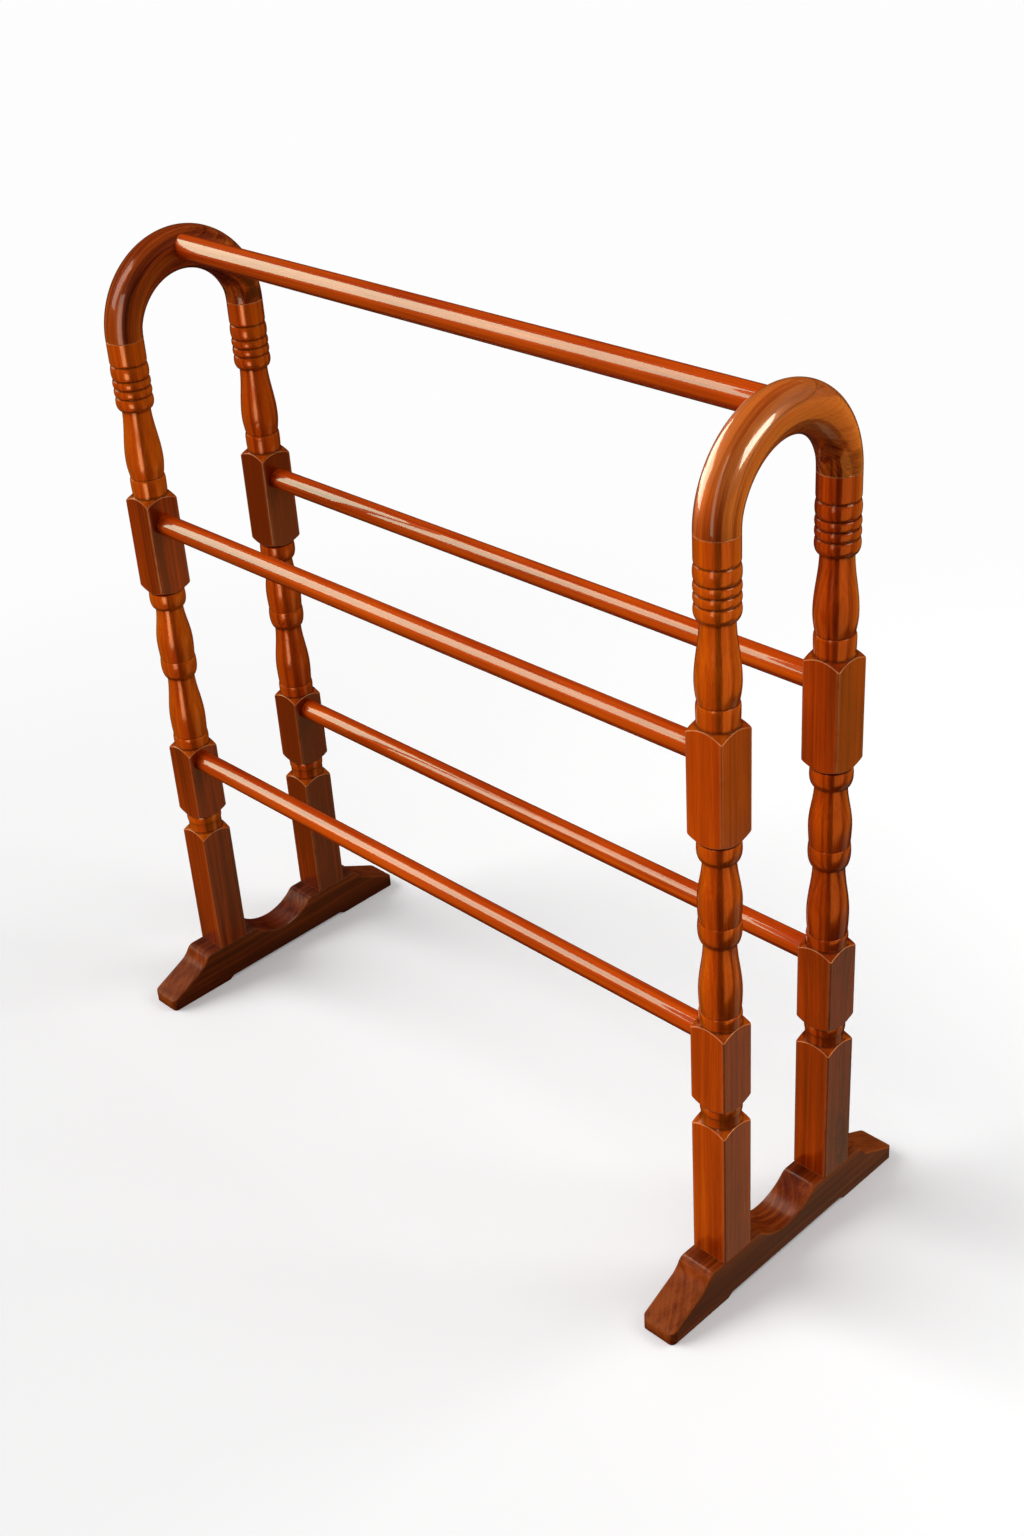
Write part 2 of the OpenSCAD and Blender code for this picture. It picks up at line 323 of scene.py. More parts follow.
def turned_outline():
    """(height, radius) of all the turned parts of a post, from the band down to the base block."""
    tops = [SEAM_H - drop for drop in RING_DROPS]
    a = np.linspace(0, math.pi / 2, 9)
    cove = np.column_stack([tops[0] + COVE_H * (1 - np.sin(a)),
                            GROOVE_R + (HOOP_R - GROOVE_R) * np.cos(a)])
    parts = [[[SEAM_H - drop, HOOP_R] for drop in (EDGE, 0.9, 1.4)], cove]
    for top, bottom in zip(tops[:3], tops[1:4]):
        parts.append(ring(top, (top + bottom) / 2, bottom, GROOVE_R, RING_R, GROOVE_R))
    parts.append(ring(tops[3], tops[3] - LAST_RING_RISE, tops[4], GROOVE_R, RING_R, NECK_R))
    # Upper vase and its collar
    upper_groove = UPPER_TOP + 25.8
    parts.append(vase(tops[4], UPPER_TOP + 44, upper_groove, UPPER_WAIST_R))
    parts.append(ring(upper_groove, upper_groove - 5, UPPER_TOP + CORE_OVERLAP,
                      UPPER_WAIST_R, WAIST_R, CORE_R))
    # Ring, middle vase, ring, lower vase and its collar
    under_block = UPPER_BOTTOM - SHOULDER_H
    middle_neck = UPPER_BOTTOM - 26
    middle_groove = UPPER_BOTTOM - 86
    lower_neck = UPPER_BOTTOM - 108.5
    lower_groove = LOWER_TOP + 18.5
    parts.append([[UPPER_BOTTOM - CORE_OVERLAP, CORE_R], [under_block + 0.2, CORE_R]])
    parts.append(ring(under_block, UPPER_BOTTOM - 15.5, middle_neck, WAIST_R, BELLY_R, NECK_R))
    parts.append(vase(middle_neck, UPPER_BOTTOM - 67, middle_groove, WAIST_R))
    parts.append(ring(middle_groove, UPPER_BOTTOM - 94, lower_neck, WAIST_R, BELLY_R, NECK_R))
    parts.append(vase(lower_neck, LOWER_TOP + 38.5, lower_groove, WAIST_R))
    parts.append(ring(lower_groove, lower_groove - 4, LOWER_TOP + 2, WAIST_R, RING_R, CORE_R))
    # Neck ring between the lower block and the base block
    neck_ring = LOWER_BOTTOM - 5
    parts.append([[LOWER_BOTTOM - CORE_OVERLAP, CORE_R], [neck_ring + 0.2, CORE_R]])
    parts.append(ring(neck_ring, neck_ring - 5, neck_ring - 10, WAIST_R, RING_R, WAIST_R))
    parts.append([[BASE_TOP + 2, WAIST_R], [BASE_TOP - CORE_OVERLAP, CORE_R]])
    return np.vstack([np.asarray(part, float) for part in parts])


CORNER_R = (HALF - BLOCK_EDGE_R) * math.sqrt(2) + BLOCK_EDGE_R
OUTSIDE_R = 40
SHOULDER_START = -1.4
# Cubic through the shoulder's outline: distance beyond the corner tips to radius
SHOULDER = np.polyfit([SHOULDER_H, SHOULDER_H / 2, 1, SHOULDER_START],
                      [CORE_R, (CORE_R + CORNER_R) / 2, CORNER_R - 1, CORNER_R + 1], 3)
# Blocks: lower and upper corner tips, and whether there is a lower shoulder
BLOCKS = [(UPPER_BOTTOM, UPPER_TOP, True), (LOWER_BOTTOM, LOWER_TOP, True),
          (FOOT_H, BASE_TOP, False)]


def block_radius(z):
    """Radius to which the shoulders limit the square blocks, and 0 beyond the blocks."""
    radius = np.zeros_like(z)
    for bottom, top, lower_shoulder in BLOCKS:
        reach = SHOULDER_H if lower_shoulder else 0
        inside = (z >= bottom - reach) & (z <= top + SHOULDER_H)
        beyond = np.maximum(z - top, bottom - z if lower_shoulder else z - top)
        limit = np.where(beyond > SHOULDER_START, np.polyval(SHOULDER, beyond), OUTSIDE_R)
        radius = np.where(inside, np.maximum(radius, limit), radius)
    return radius


def corner_angles(per_octant):
    """Angles round a post, closer together near the corners of its blocks."""
    t = np.arange(per_octant) / per_octant
    octant = math.pi / 4 * (0.5 * t + 0.5 * (1 - (1 - t) ** 2))
    quarter = np.concatenate([octant, math.pi / 2 - octant[1:][::-1]])
    quarter = np.insert(quarter, per_octant, math.pi / 4)
    return np.concatenate([quarter + k * math.pi / 2 for k in range(4)])


ANGLES = corner_angles(18)
from_face = np.abs((ANGLES + math.pi / 4) % (math.pi / 2) - math.pi / 4)
# Distance from the axis to the square column, whose upright edges are rounded
core = HALF - BLOCK_EDGE_R
along = (np.cos(from_face) + np.sin(from_face)) * core
SQUARE = np.where(HALF * np.tan(from_face) <= core, HALF / np.cos(from_face),
                  along + np.sqrt(np.maximum(along ** 2 - 2 * core ** 2 + BLOCK_EDGE_R ** 2, 0)))


def soft_min(a, b, blend):
    """Smaller of two radii, rounded where they cross."""
    near = np.maximum(blend - np.abs(a - b), 0) / blend
    return np.minimum(a, b) - near ** 2 * blend / 4


# Spacing of the loops on a block's shoulder, and how far they go on into the block
LOOP_STEP = 0.38
LOOP_OVERLAP = 2.4
LEAST_STEP = 0.09


def post_heights(outline):
    """Heights of the loops of a post, from the top down."""
    heights = list(outline[:, 0])
    for bottom, top, lower_shoulder in BLOCKS:
        heights += list(np.arange(top - LOOP_OVERLAP, top + SHOULDER_H + 0.2, LOOP_STEP))
        # The base block has more loops, because it carries the figure of a knot
        heights += list(np.linspace(bottom + 3, top - 3, 9 if lower_shoulder else 36))
        if lower_shoulder:
            heights += list(np.arange(bottom - SHOULDER_H - 0.1, bottom + LOOP_OVERLAP, LOOP_STEP))
    heights += [FOOT_H + 0.5, FOOT_H + 1, FOOT_H + 2]
    heights = np.sort(np.array(heights))[::-1]
    keep = np.concatenate([[True], np.diff(heights) < -LEAST_STEP])
    heights = heights[keep]
    return heights[(heights > FOOT_H + 0.3) & (heights < SEAM_H - EDGE + 0.01)]


OUTLINE = turned_outline()
HEIGHTS = post_heights(OUTLINE)
TURNED = np.interp(HEIGHTS, OUTLINE[::-1, 0], OUTLINE[::-1, 1])
TURNED = np.where(HEIGHTS < BASE_TOP - CORE_OVERLAP, 0, TURNED)
LIMIT = np.maximum(TURNED, block_radius(HEIGHTS))
# How much lower the outline lies than its surroundings: 1 in a sharp groove
GROOVE_REACH = 1.3
GROOVE_DEPTH = 0.55
AROUND = (np.interp(HEIGHTS + GROOVE_REACH, HEIGHTS[::-1], LIMIT[::-1])
          + np.interp(HEIGHTS - GROOVE_REACH, HEIGHTS[::-1], LIMIT[::-1])) / 2
GROOVE = np.clip((np.minimum(AROUND, BELLY_R + 1) - LIMIT) / GROOVE_DEPTH, 0, 1)
# Rounding between a shoulder and the flat faces
CREASE = 0.7


def post_loops():
    """Loops of a post on its own axis, from the pilot hole's upper end down and out, then up to
    the top and down the dowel hole."""
    circle = np.column_stack([np.cos(ANGLES), np.sin(ANGLES)])

    def level(z, radius):
        radius = np.reshape(radius, (-1, 1))
        return np.column_stack([circle * radius, np.full(len(ANGLES), z)])

    loops = [level(PILOT_TOP, PILOT_R), level(TENON_BOTTOM, PILOT_R),
             level(TENON_BOTTOM, TENON_R - TENON_EASE), level(TENON_BOTTOM + TENON_EASE, TENON_R),
             level(FOOT_H, TENON_R), level(FOOT_H, SQUARE - EDGE), level(FOOT_H + EDGE, SQUARE)]
    for z, limit in zip(HEIGHTS[::-1], LIMIT[::-1]):
        loops.append(level(z, soft_min(np.full(len(ANGLES), limit), SQUARE, CREASE)))
    loops += [level(SEAM_H, HOOP_R - EDGE), level(SEAM_H, DOWEL_HOLE_R),
              level(SEAM_H - DOWEL_DEPTH, DOWEL_HOLE_R)]
    return np.array(loops)


POST_LOOPS = post_loops()


def socket(x, y, z, side, radius, end_x):
    """Cutter for a blind rail socket, open towards the middle of the rack and ending end_x beyond
    the post's axis."""
    stations = [(-HALF - 4, radius + GLUE_GAP), (end_x, radius + GLUE_GAP)]
    return rod("cutter", (x, y, z), (side, 0, 0), stations)


# How much lighter than usual the turned parts and the flat faces of each post are painted: the
# wood's own tone, which differs from post to post, together with painted light and shade, the flat
# faces mostly painted darker
POST_TONES_AND_SHADING = {"left_front": (0.30, -0.24), "left_back": (0.12, -0.42),
              "right_front": (0.18, 0.02), "right_back": (-0.02, -0.20)}
# The pith lies off each post's axis, in a direction (radians) of its own
PITH_TURNS = {"left_front": 0.6, "left_back": 2.3, "right_front": 4.1, "right_back": 5.4}
PITH_OFF = 46
GRAIN_SHIFT = 400
# Knot in the outer face of one base block: middle, half height and half width
KNOT_POST = "right_back"
KNOT_Y, KNOT_H = 3, 84
KNOT_HALF_H, KNOT_HALF_W = 24, 7
KNOT_BEND = 13


def build_post(side_name, end_name):
    """Turned post with its two rail sockets, and the marks of wear, stain and painted shade on it.
    """
    side, end = SIDES[side_name], ENDS[end_name]
    corner = f"{side_name}_{end_name}"
    name = f"post_{corner}"
    axis = np.array([side * FRAME_X, end * POST_Y, 0])
    piece = skin(name + "_wood", POST_LOOPS + axis, axis + [0, 0, PILOT_TOP],
                 axis + [0, 0, SEAM_H - DOWEL_DEPTH])
    cut(piece, [socket(axis[0], axis[1], z, side, RAIL_R, RAIL_TENON - HALF)
                for z in (UPPER_RAIL_H, LOWER_RAIL_H)])
    points = points_of(piece) - axis
    radius = np.hypot(points[:, 0], points[:, 1])
    angle = np.arctan2(points[:, 1], points[:, 0]) % (2 * math.pi)
    square = np.interp(angle, np.append(ANGLES, 2 * math.pi), np.append(SQUARE, SQUARE[0]))
    limit = np.interp(points[:, 2], HEIGHTS[::-1], LIMIT[::-1])
    # Tenon, sockets and holes carry no marks
    outside = radius > 14
    # Pale lines: the arches of the blocks, their upright edges, the joints at both ends
    arch = bump_near(limit - square, 0.1, 0.38) * (block_radius(points[:, 2]) > 0)
    arris_start = HALF * 1.3
    arris = 0.22 * np.clip((square - arris_start) / (CORNER_R - arris_start), 0, 1)
    arris *= radius > square - 0.3
    seam = 0.5 * bump_near(points[:, 2], SEAM_H - 0.2, 0.35)
    base = 0.5 * bump_near(points[:, 2], FOOT_H + 0.2, 0.4)
    wear = np.maximum.reduce([arch, arris, seam, base]) * outside
    # Grooves are painted darker: stain that gathers in them, and painted shade
    stain = np.interp(points[:, 2], HEIGHTS[::-1], GROOVE[::-1]) * (radius < limit + 0.4) * outside
    turn = PITH_TURNS[corner]
    pith = np.array([math.cos(turn) * PITH_OFF, math.sin(turn) * PITH_OFF,
                     GRAIN_SHIFT * (side + 2 * end)])
    # The flat faces of the blocks are painted darker than the turned parts, a painted shade
    flat_face = np.clip((limit - square + 1) / 2, 0, 1) * (block_radius(points[:, 2]) > 0)
    turned_tone_and_light, flat_tone_and_shade = POST_TONES_AND_SHADING[corner]
    grain = points + pith
    if corner == KNOT_POST:
        # The knot bends the growth rings round itself and has dark rings of its own
        off = np.hypot((points[:, 2] - KNOT_H) / KNOT_HALF_H, (points[:, 1] - KNOT_Y) / KNOT_HALF_W)
        outer_face = points[:, 0] > HALF - 4
        grain[:, 0] += KNOT_BEND * np.exp(-off ** 2) * outer_face
        rings = np.maximum(0.75 * bump_near(off, 1.0, 0.28), 0.5 * bump_near(off, 0.35, 0.2))
        stain = np.maximum(stain, rings * outer_face)
    paint(piece, grain, wear, stain, turned_tone_and_light + (flat_tone_and_shade - turned_tone_and_light) * flat_face)
    return piece, name


# ------------------------------ hoop
# The inner outline follows a flatter arc, which makes the crown thicker
INNER_RISE = POST_Y - (CROWN_H - HOOP_R - INNER_R)
INNER_ARC_R = (POST_Y ** 2 + INNER_RISE ** 2) / (2 * INNER_RISE)
INNER_BLEND = 1.5
HOOP_POINTS = 112
HOOP_LOOPS = 138
# How much lighter than usual the crown of each hoop is painted: painted light on the right crown,
# painted shade on the left
HOOP_CROWN_LIGHT_AND_SHADE = {"left": -0.10, "right": 0.34}


def inner_reach(turn):
    """Distance from the hoop's centre line to its inner outline, at an angle from the front leg."""
    drop = INNER_ARC_R - INNER_RISE
    chord = math.sqrt(INNER_ARC_R ** 2 - (drop * math.cos(turn)) ** 2)
    reach = POST_Y - (chord - drop * math.sin(turn)) + INNER_R
    near = max(INNER_BLEND - abs(reach - HOOP_R), 0) / INNER_BLEND
    return max(reach, HOOP_R) + near ** 2 * INNER_BLEND / 4 * math.sin(turn)


def hoop_loop(turn, radius, reach, lift=0.0):
    """Loop round the hoop's centre line, turn radians from the front leg, lifted along Z."""
    outward = np.array([0, -math.cos(turn), math.sin(turn)])
    angles = np.arange(HOOP_POINTS) * 2 * math.pi / HOOP_POINTS
    across = np.cos(angles) * np.where(np.cos(angles) < 0, reach, radius)
    return np.array([0, 0, lift]) + POST_Y * outward + (
        np.outer(across, outward) + np.outer(radius * np.sin(angles), [1, 0, 0]))


def build_hoop(side_name):
    """Hoop with a dowel hole up each leg and a socket for the top rail."""
    side = SIDES[side_name]
    name = f"hoop_{side_name}"
    eased = EDGE / POST_Y
    turns = np.concatenate([np.array([1, 2.2, 3.5]) * eased,
                            np.linspace(0.04, math.pi - 0.04, HOOP_LOOPS),
                            math.pi - np.array([3.5, 2.2, 1]) * eased])
    end = [(DOWEL_HOLE_R, DOWEL_DEPTH), (DOWEL_HOLE_R, 0), (HOOP_R - EDGE, 0)]
    loops = [hoop_loop(0, radius, radius, lift) for radius, lift in end]
    loops += [hoop_loop(turn, HOOP_R, inner_reach(turn)) for turn in turns]
    loops += [hoop_loop(math.pi, radius, radius, lift) for radius, lift in end[::-1]]
    base = np.array([side * FRAME_X, 0, SEAM_H])
    piece = skin(name + "_wood", np.array(loops) + base, base + [0, -POST_Y, DOWEL_DEPTH],
                 base + [0, POST_Y, DOWEL_DEPTH])
    cut(piece, [socket(base[0], 0, TOP_RAIL_H, side, TOP_RAIL_R, RAIL_TENON - HOOP_R)])
    points = points_of(piece) - base
    tube = np.hypot(np.hypot(points[:, 1], points[:, 2]) - POST_Y, points[:, 0])
    wear = 0.5 * bump_near(points[:, 2], 0.2, 0.35) * (tube > HOOP_R - 1)
    # The fibres follow the front leg and the crown, and then run straight on across the back leg
    y, z = points[:, 1], points[:, 2]
    across = np.hypot(np.minimum(y, 0), z)
    along = np.where(y < 0, -np.arctan2(-y, np.maximum(z, 0.01)) * POST_Y, y)
    grain = np.column_stack([across + 20 * side, points[:, 0] + 34 + 8 * side, along + 900 * side])
    crown = np.clip(z / 45, 0, 1)
    shaded_back_leg = np.clip(y / 40, 0, 1) * (1 - crown)
    # Painted light and shade: each crown takes its own painted light or shade, and the back leg is
    # painted darker, a painted shade
    paint(piece, grain, wear, 0, HOOP_CROWN_LIGHT_AND_SHADE[side_name] * crown - 0.24 * shaded_back_leg + 0.06)
    return piece, name


# ------------------------------ foot
def foot_outline():
    """Side outline of a foot, (y, z), clockwise from the middle of the sole."""
    scoop_sum = (SCOOP_HALF ** 2 + SCOOP_DEPTH ** 2) / (2 * SCOOP_DEPTH)
    scoop_r = scoop_sum - SCOOP_EDGE_R
    turn = math.degrees(math.asin(SCOOP_HALF / scoop_sum))
    land = math.radians(LAND_TURN)
    slope = math.radians(TOE_SLOPE)
    hollow = np.array([FOOT_LAND + (LAND_R + HOLLOW_R) * math.cos(land),
                       FOOT_H - LAND_R + (LAND_R + HOLLOW_R) * math.sin(land)])
    slope_start = hollow - HOLLOW_R * np.array([math.sin(slope), math.cos(slope)])
    toe_y = FOOT_END - TOE_R + TOE_R * math.sin(slope)
    toe_z = slope_start[1] - (toe_y - slope_start[0]) * math.tan(slope)
    right = np.vstack([
        arc((0, FOOT_H - SCOOP_DEPTH + scoop_r), scoop_r, -90, -90 + turn, 26),
        arc((SCOOP_HALF, FOOT_H - SCOOP_EDGE_R), SCOOP_EDGE_R, 90 + turn, 90, 9)[1:],
        arc((FOOT_LAND, FOOT_H - LAND_R), LAND_R, 90, LAND_TURN, 12),
        arc(hollow, HOLLOW_R, 180 + LAND_TURN, 270 - TOE_SLOPE, 12)[1:],
        arc((FOOT_END - TOE_R, toe_z - TOE_R * math.cos(slope)), TOE_R, 90 - TOE_SLOPE, 0, 8),
        arc((FOOT_END - SOLE_R, SOLE_R), SOLE_R, 0, -90, 6),
        [[PAD_START, 0], [PAD_START - RELIEF_RUN, RELIEF_H]]])
    left = (right[1:] * [-1, 1])[::-1]
    return np.vstack([left, right])


def even(points, step):
    """Closed outline with long edges cut into steps."""
    out = []
    for a, b in zip(points, np.roll(points, -1, axis=0)):
        pieces = max(1, int(round(np.linalg.norm(b - a) / step)))
        out += [a + (b - a) * k / pieces for k in range(pieces)]
    return np.array(out)


def inset(points, distance):
    """Closed outline moved inwards; points run anticlockwise."""
    before = points - np.roll(points, 1, axis=0)
    after = np.roll(points, -1, axis=0) - points
    before /= np.linalg.norm(before, axis=1)[:, None]
    after /= np.linalg.norm(after, axis=1)[:, None]
    normal = np.column_stack([-(before + after)[:, 1], (before + after)[:, 0]])
    normal /= np.linalg.norm(normal, axis=1)[:, None]
    reach = np.sum(normal * np.column_stack([-before[:, 1], before[:, 0]]), axis=1)
    return points + normal * (distance / np.maximum(reach, 0.5))[:, None]


def fill(outline):
    """Triangles between the points of a closed flat outline, as index triples."""
    inside_only, tolerance = 1, 1e-6
    result = delaunay_2d_cdt([Vector(point) for point in outline], [], [list(range(len(outline)))],
                             inside_only, tolerance)
    triangles, sources = result[2], result[3]
    return [tuple(sources[i][0] for i in triangle) for triangle in triangles]


def toe_plan(centre_x):
    """Upright prism whose rounded corners are the upright corners of both toes."""
    # The prism's flat sides stand clear of the foot's own
    slack = 0.05
    corner = np.array([HALF - TOE_CORNER_R, FOOT_END - TOE_CORNER_R]) + slack
    quarter = arc(corner, TOE_CORNER_R, 0, 90, 9)
    quarter = np.vstack([[[HALF + 1.5, 0]], quarter, [[0, FOOT_END + 0.5]]])
    half = np.vstack([quarter, (quarter * [-1, 1])[::-1][1:]])
    plan = np.vstack([half, (half * [1, -1])[::-1][1:-1]]) + [centre_x, 0]
    bottom, top = -1, FOOT_H + 1
    loops = [np.column_stack([plan, np.full(len(plan), z)]) for z in (bottom, top)]
    return skin("cutter", loops, (centre_x, 0, bottom), (centre_x, 0, top))


def build_foot(side_name):
    """Foot swept across its thickness, with its screw holes and mortises cut in."""
    side = SIDES[side_name]
    name = f"foot_{side_name}"
    # Reversed, because inset() needs it anticlockwise
    outline = even(foot_outline(), 5)[::-1]
    # Rounded edge from the side face to the top: distance from the middle plane, depth of inset
    profile = [(-HALF, FOOT_EDGE_R + FOOT_RIM)]
    profile += [(-HALF + FOOT_EDGE_R * (1 - math.cos(bend)), FOOT_EDGE_R * (1 - math.sin(bend)))
                for bend in np.radians([0, 22.5, 45, 67.5, 90])]
    profile += [(x, 0.0) for x in np.linspace(-HALF + 5, 0, 4)]
    profile += [(-x, r) for x, r in profile[:-1][::-1]]
    centre_x = side * FRAME_X
    points = []
    count = len(outline)
    for x, depth in profile:
        ring_points = inset(outline, depth) if depth else outline
        points += [(centre_x + x, y, z) for y, z in ring_points]
    faces = wall(len(profile), count)
    cap = fill(inset(outline, profile[0][1]))
    faces += [triangle[::-1] for triangle in cap]
    faces += [tuple(i + (len(profile) - 1) * count for i in triangle) for triangle in cap]
    piece = new_object(name + "_wood", points, faces)
    cutters = []
    for end in ENDS.values():
        base = (centre_x, end * POST_Y, 0)
        cutters.append(rod("cutter", base, (0, 0, 1), [
            (-1, SCREW_HEAD_HOLE_R), (SCREW_Z, SCREW_HEAD_HOLE_R),
            (SCREW_Z + SCREW_HEAD_H, SCREW_HOLE_R), (TENON_BOTTOM - 1, SCREW_HOLE_R),
            (TENON_BOTTOM - 1, TENON_R + GLUE_GAP), (FOOT_H + 2, TENON_R + GLUE_GAP)]))
    cut(piece, cutters, toe_plan(centre_x))
    x, y, z = (points_of(piece) - [centre_x, 0, 0]).T
    # The edges and the ends of the toes are rubbed pale
    edge = bump_near(np.abs(x), HALF - 0.5 * FOOT_EDGE_R, 0.8)
    top = z > 6
    toe = np.clip((np.abs(y) - 150) / 15, 0, 1) * (np.abs(y) > FOOT_END - 4)
    wear = np.maximum(0.45 * edge * top, 0.4 * toe * (z > 3))
    # The tops of the toes are painted lighter, a painted light on them, and a little worn
    lit_toe_top = np.clip((np.abs(y) - FOOT_LAND + 4) / 8, 0, 1) * top * (np.abs(x) < HALF - 1)
    grain = np.column_stack([x + 60, z + 35 + 10 * side, y + 700 * side])
    paint(piece, grain, np.maximum(wear, 0.10 * lit_toe_top), 0, 0.14 * lit_toe_top + 0.06 + 0.08 * side)
    return piece, name


# ------------------------------ rails
RAIL_EASE = 0.8
RAIL_LOOPS = 44
RAIL_POINTS = 88


def build_rail(name, radius, seed):
    """Straight rail with eased ends; its number in the row shifts its grain."""
    low, high = (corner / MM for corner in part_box(name))
    y, z = (low.y + high.y) / 2, (low.z + high.z) / 2
    length = high.x - low.x
    ease = [(RAIL_EASE * (1 - math.cos(a)), radius - RAIL_EASE * (1 - math.sin(a)))
            for a in np.radians([0, 30, 60, 90])]
    middle = [(d, radius) for d in np.linspace(6, length - 6, RAIL_LOOPS)]
    stations = ease + middle + [(length - d, r) for d, r in ease[::-1]]
    piece = rod(name + "_wood", (low.x, y, z), (1, 0, 0), stations, count=RAIL_POINTS)
    points = points_of(piece) - [0, y, z]
    paint(piece, np.column_stack([points[:, 1] + 30 + 4 * seed, points[:, 2] + 18,
                                  points[:, 0] + 1300 * seed]))
    return piece


# ------------------------------ materials
class Tree:
    """Node tree of one material, with short calls to add nodes."""

    def __init__(self, name):
        self.material = bpy.data.materials.new(name)
        self.material.use_nodes = True
        self.nodes = self.material.node_tree.nodes
        self.links = self.material.node_tree.links
        self.nodes.clear()

    def add(self, kind, settings=None, **inputs):
        """Node with its settings; inputs are named, or numbered as i0, i1 and so on."""
        node = self.nodes.new("ShaderNode" + kind)
        for key, value in (settings or {}).items():
            setattr(node, key, value)
        for key, value in inputs.items():
            numbered = key[0] == "i" and key[1:].isdigit()
            self.join(node, int(key[1:]) if numbered else key.replace("_", " "), value)
        return node

    def join(self, node, key, value):
        """Links the value to the input if it is a socket, and sets it otherwise."""
        if isinstance(value, bpy.types.NodeSocket):
            self.links.new(value, node.inputs[key])
        else:
            node.inputs[key].default_value = value

    def math(self, operation, a, b=0.0, clamp=False):
        settings = {"operation": operation, "use_clamp": clamp}
        return self.add("Math", settings, i0=a, i1=b).outputs[0]

    def weigh(self, value, weight):
        """The value's difference from one half, times a weight."""
        return self.math("MULTIPLY", self.math("SUBTRACT", value, 0.5), weight)

    def times_plus(self, value, factor, offset):
        return self.add("Math", {"operation": "MULTIPLY_ADD"},
                        i0=value, i1=factor, i2=offset).outputs[0]

    def scale(self, vector, factors):
        return self.add("VectorMath", {"operation": "MULTIPLY"}, i0=vector, i1=factors).outputs[0]

    def noise(self, vector, detail, roughness=0.5, distortion=0.0):
        """Noise with one feature per metre; the vector's scale makes it finer."""
        return self.add("TexNoise", Vector=vector, Scale=1.0, Detail=detail, Roughness=roughness,
                        Distortion=distortion).outputs[0]

    def spread(self, value, low, high):
        """Value from low to high brought to 0 to 1, clamped."""
        return self.add("MapRange", {"interpolation_type": "SMOOTHSTEP"},
                        i0=value, i1=low, i2=high, i3=0.0, i4=1.0).outputs[0]

    def mix(self, factor, a, b):
        """Colour from a to b."""
        node = self.add("Mix", {"data_type": "RGBA"}, i0=factor)
        for key, value in ((6, a), (7, b)):
            is_socket = isinstance(value, bpy.types.NodeSocket)
            self.join(node, key, value if is_socket else (*value, 1.0))
        return node.outputs[2]

    def ramp(self, value, stops):
        """Colour from the value, through stops of (position, colour)."""
        node = self.add("ValToRGB", i0=value)
        elements = node.color_ramp.elements
        while len(elements) < len(stops):
            elements.new(0.5)
        for element, (position, colour) in zip(elements, stops):
            element.position = position
            element.color = (*colour, 1.0)
        return node.outputs[0]


